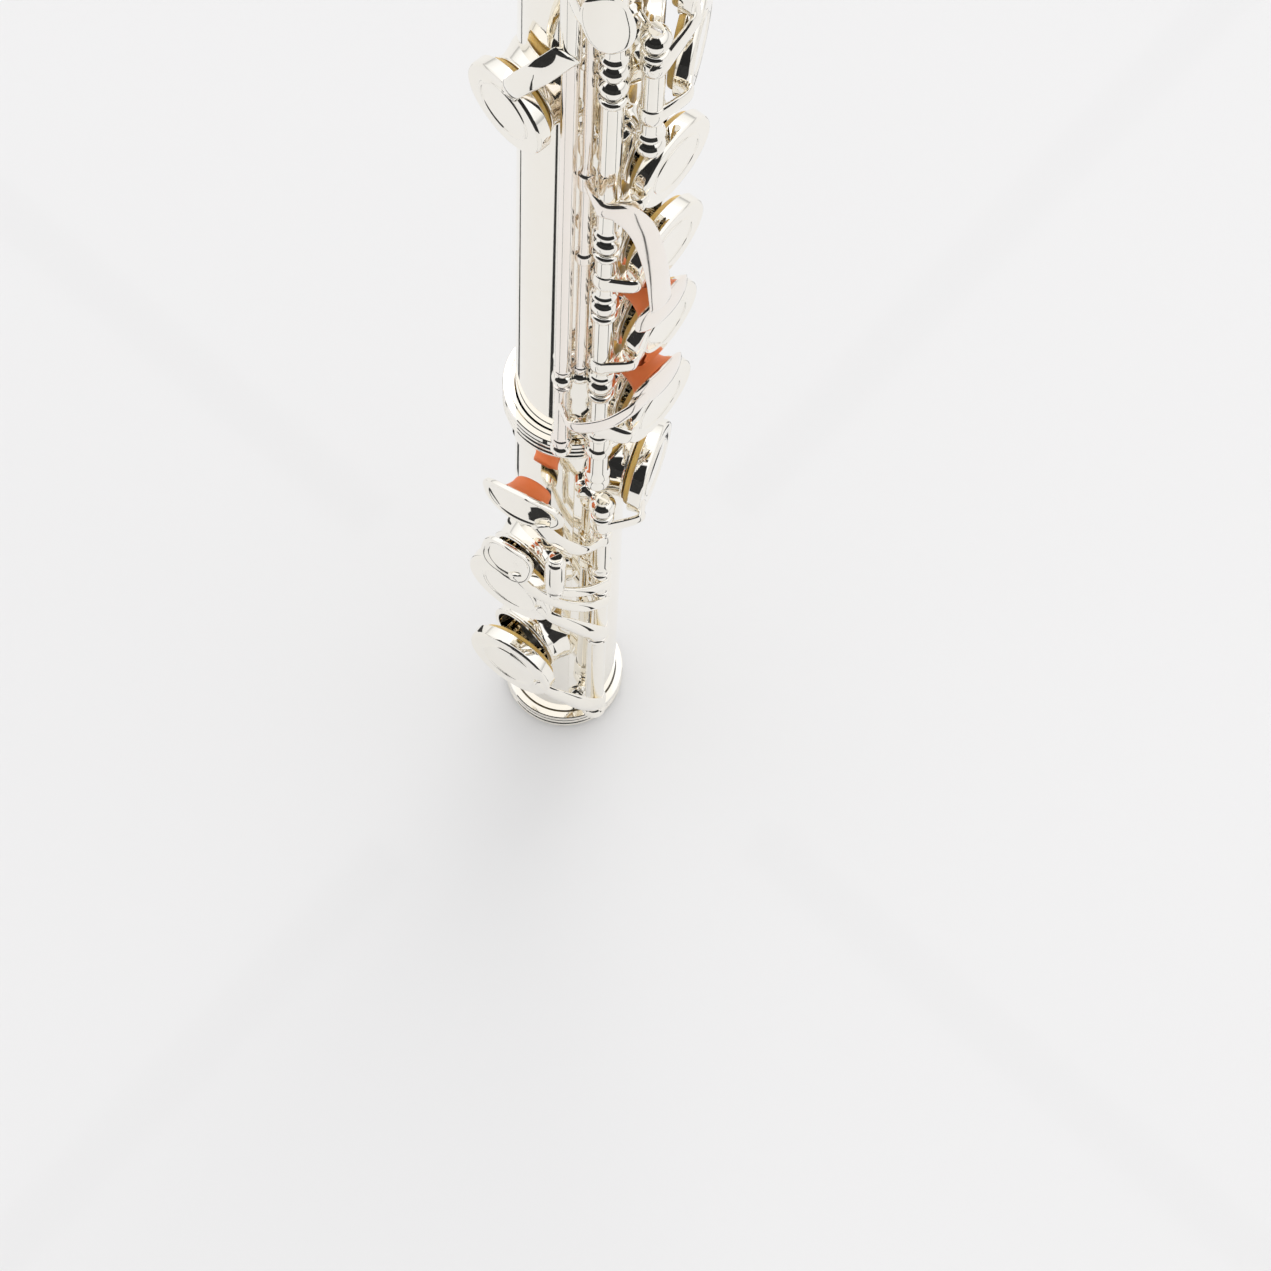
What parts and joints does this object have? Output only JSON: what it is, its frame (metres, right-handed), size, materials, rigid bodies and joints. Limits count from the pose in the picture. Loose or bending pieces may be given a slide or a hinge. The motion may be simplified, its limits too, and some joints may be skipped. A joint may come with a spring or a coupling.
{
  "type": "concert flute",
  "caption": "Silver-plated closed-hole concert flute with offset G keys and C foot joint; padded keys, trill levers and finger touches turn on rods between ball posts.",
  "frame": {"origin": "centre of the bore at the end of the foot joint", "axes": "+Z along the bore towards the headjoint, -Y out through the main line of tone holes, -X towards the player"},
  "size_m": [0.035, 0.041, 0.663],
  "materials": {
    "silver": "polished silver plate",
    "steel": "ground",
    "yellow_skin": "thin skin over felt",
    "orange_rubber": "smooth soft rubber",
    "cork": "cork"
  },
  "bodies": {
    "foot_joint": {"foot_tube": "silver", "foot_receiver_ring": "silver", "foot_end_ring": "silver", "foot_rib": "silver"},
    "body_section": {"barrel": "silver", "body_tube": "silver", "right_hand_rib": "silver", "left_hand_rib": "silver", "upper_trill_rib": "silver", "thumb_rib": "silver", "g_lower_post": "silver", "g_upper_post": "silver", "right_hand_steel": "steel", "left_hand_steel": "steel", "g_steel": "steel", "thumb_steel": "steel"},
    "headjoint": {"headjoint_tube": "silver", "lip_plate": "silver"},
    "stopper": {"stopper_screw": "steel", "stopper_cork": "cork", "stopper_nut": "silver"},
    "crown": {"crown": "silver"},
    "d_key": {"d_key": "silver", "d_pad": "yellow_skin"},
    "e_key": {"e_key": "silver", "e_pad": "yellow_skin"},
    "f_key": {"f_key": "silver", "f_pad": "yellow_skin"},
    "f_sharp_key": {"f_sharp_key": "silver", "f_sharp_pad": "yellow_skin"},
    "a_key": {"a_key": "silver", "a_pad": "yellow_skin"},
    "b_flat_key": {"b_flat_key": "silver", "b_flat_pad": "yellow_skin"},
    "c_sharp_key": {"c_sharp_key": "silver", "c_sharp_pad": "yellow_skin"},
    "g_key": {"g_key": "silver", "g_lower_pad": "yellow_skin", "g_upper_pad": "yellow_skin"},
    "g_sharp_key": {"g_sharp_key": "silver", "g_sharp_pad": "yellow_skin"},
    "thumb_key": {"thumb_key": "silver", "thumb_pad": "yellow_skin"},
    "thumb_b_flat_lever": {"thumb_b_flat_lever": "silver"},
    "d_trill_key": {"d_trill_key": "silver", "d_trill_pad": "yellow_skin", "d_trill_bumper": "orange_rubber"},
    "d_sharp_trill_key": {"d_sharp_trill_key": "silver", "d_sharp_trill_pad": "yellow_skin", "d_sharp_trill_bumper": "orange_rubber"},
    "d_sharp_foot_key": {"d_sharp_foot_key": "silver", "d_sharp_foot_pad": "yellow_skin", "d_sharp_bumper": "orange_rubber"},
    "c_sharp_foot_key": {"c_sharp_foot_key": "silver", "c_sharp_foot_pad": "yellow_skin"},
    "c_foot_key": {"c_foot_key": "silver", "c_foot_pad": "yellow_skin", "foot_steel": "steel", "c_roller_lever": "silver"},
    "c_roller": {"c_roller": "silver"}
  },
  "joints": [
    {"name": "foot_alignment", "type": "hinge", "parent": "foot_joint", "child": "body_section", "pos_m": [0, 0, 0.12], "axis": [0, 0, 1], "range_deg": [-12, 12]},
    {"name": "headjoint_pull", "type": "slide", "parent": "body_section", "child": "headjoint", "axis": [0, 0, 1], "range_m": [0, 0.015]},
    {"name": "crown_turn", "type": "hinge", "parent": "headjoint", "child": "crown", "pos_m": [0, 0, 0.658], "axis": [0, 0, 1], "range_deg": [-360, 360]},
    {"name": "stopper_travel", "type": "slide", "parent": "headjoint", "child": "stopper", "axis": [0, 0, 1], "range_m": [-0.0008, 0.0008]},
    {"name": "d_press", "type": "hinge", "parent": "body_section", "child": "d_key", "pos_m": [-0.0107, -0.01108, 0.15], "axis": [0, 0, 1], "range_deg": [0, 9], "stiffness_Nm_per_rad": 0.01, "springref_deg": -20.05},
    {"name": "e_press", "type": "hinge", "parent": "body_section", "child": "e_key", "pos_m": [-0.0107, -0.01108, 0.175], "axis": [0, 0, 1], "range_deg": [0, 9], "stiffness_Nm_per_rad": 0.01, "springref_deg": -20.05},
    {"name": "f_press", "type": "hinge", "parent": "body_section", "child": "f_key", "pos_m": [-0.0107, -0.01108, 0.2], "axis": [0, 0, 1], "range_deg": [0, 9], "stiffness_Nm_per_rad": 0.01, "springref_deg": -20.05},
    {"name": "f_sharp_press", "type": "hinge", "parent": "body_section", "child": "f_sharp_key", "pos_m": [-0.0107, -0.01108, 0.235], "axis": [0, 0, 1], "range_deg": [0, 9], "stiffness_Nm_per_rad": 0.01, "springref_deg": -20.05},
    {"name": "a_press", "type": "hinge", "parent": "body_section", "child": "a_key", "pos_m": [-0.0107, -0.01108, 0.287], "axis": [0, 0, 1], "range_deg": [0, 9], "stiffness_Nm_per_rad": 0.01, "springref_deg": -20.05},
    {"name": "b_flat_press", "type": "hinge", "parent": "body_section", "child": "b_flat_key", "pos_m": [-0.0107, -0.01108, 0.318], "axis": [0, 0, 1], "range_deg": [0, 9], "stiffness_Nm_per_rad": 0.01, "springref_deg": -20.05},
    {"name": "c_sharp_press", "type": "hinge", "parent": "body_section", "child": "c_sharp_key", "pos_m": [-0.0107, -0.01108, 0.356], "axis": [0, 0, 1], "range_deg": [0, 9], "stiffness_Nm_per_rad": 0.01, "springref_deg": -20.05},
    {"name": "g_press", "type": "hinge", "parent": "body_section", "child": "g_key", "pos_m": [-0.00618, -0.0153, 0.254], "axis": [0, 0, 1], "range_deg": [0, 9], "stiffness_Nm_per_rad": 0.01, "springref_deg": -20.05},
    {"name": "g_sharp_press", "type": "hinge", "parent": "body_section", "child": "g_sharp_key", "pos_m": [-0.01312, -0.00517, 0.28], "axis": [0, 0, 1], "range_deg": [0, 9], "stiffness_Nm_per_rad": 0.01, "springref_deg": -20.05},
    {"name": "thumb_press", "type": "hinge", "parent": "body_section", "child": "thumb_key", "pos_m": [-0.01372, 0.00499, 0.33], "axis": [0, 0, -1], "range_deg": [0, 9], "stiffness_Nm_per_rad": 0.01, "springref_deg": -20.05},
    {"name": "thumb_b_flat_press", "type": "hinge", "parent": "body_section", "child": "thumb_b_flat_lever", "pos_m": [-0.01372, 0.00499, 0.353], "axis": [0, 0, -1], "range_deg": [0, 5], "stiffness_Nm_per_rad": 0.01, "springref_deg": -20.05},
    {"name": "d_trill_press", "type": "hinge", "parent": "body_section", "child": "d_trill_key", "pos_m": [-0.01126, -0.00745, 0.28], "axis": [0, 0, -1], "range_deg": [0, 9], "stiffness_Nm_per_rad": 0.01, "springref_deg": -20.05},
    {"name": "d_sharp_trill_press", "type": "hinge", "parent": "body_section", "child": "d_sharp_trill_key", "pos_m": [-0.01312, -0.00517, 0.28], "axis": [0, 0, -1], "range_deg": [0, 9], "stiffness_Nm_per_rad": 0.01, "springref_deg": -20.05},
    {"name": "d_sharp_foot_press", "type": "hinge", "parent": "foot_joint", "child": "d_sharp_foot_key", "pos_m": [-0.00893, -0.01143, 0.094], "axis": [0, 0, -1], "range_deg": [0, 9], "stiffness_Nm_per_rad": 0.01, "springref_deg": -20.05},
    {"name": "c_sharp_foot_press", "type": "hinge", "parent": "foot_joint", "child": "c_sharp_foot_key", "pos_m": [-0.00893, -0.01143, 0.063], "axis": [0, 0, -1], "range_deg": [0, 9], "stiffness_Nm_per_rad": 0.01, "springref_deg": -20.05},
    {"name": "c_foot_press", "type": "hinge", "parent": "foot_joint", "child": "c_foot_key", "pos_m": [-0.00893, -0.01143, 0.035], "axis": [0, 0, -1], "range_deg": [0, 9], "stiffness_Nm_per_rad": 0.01, "springref_deg": -20.05},
    {"name": "c_roller_spin", "type": "hinge", "parent": "c_foot_key", "child": "c_roller", "pos_m": [-0.01797, -0.00729, 0.092], "axis": [0, 0, 1], "continuous": true}
  ],
  "couplings": [
    {"joint": "f_sharp_press", "follows": "f_press", "ratio": 1},
    {"joint": "b_flat_press", "follows": "a_press", "ratio": 1}
  ]
}
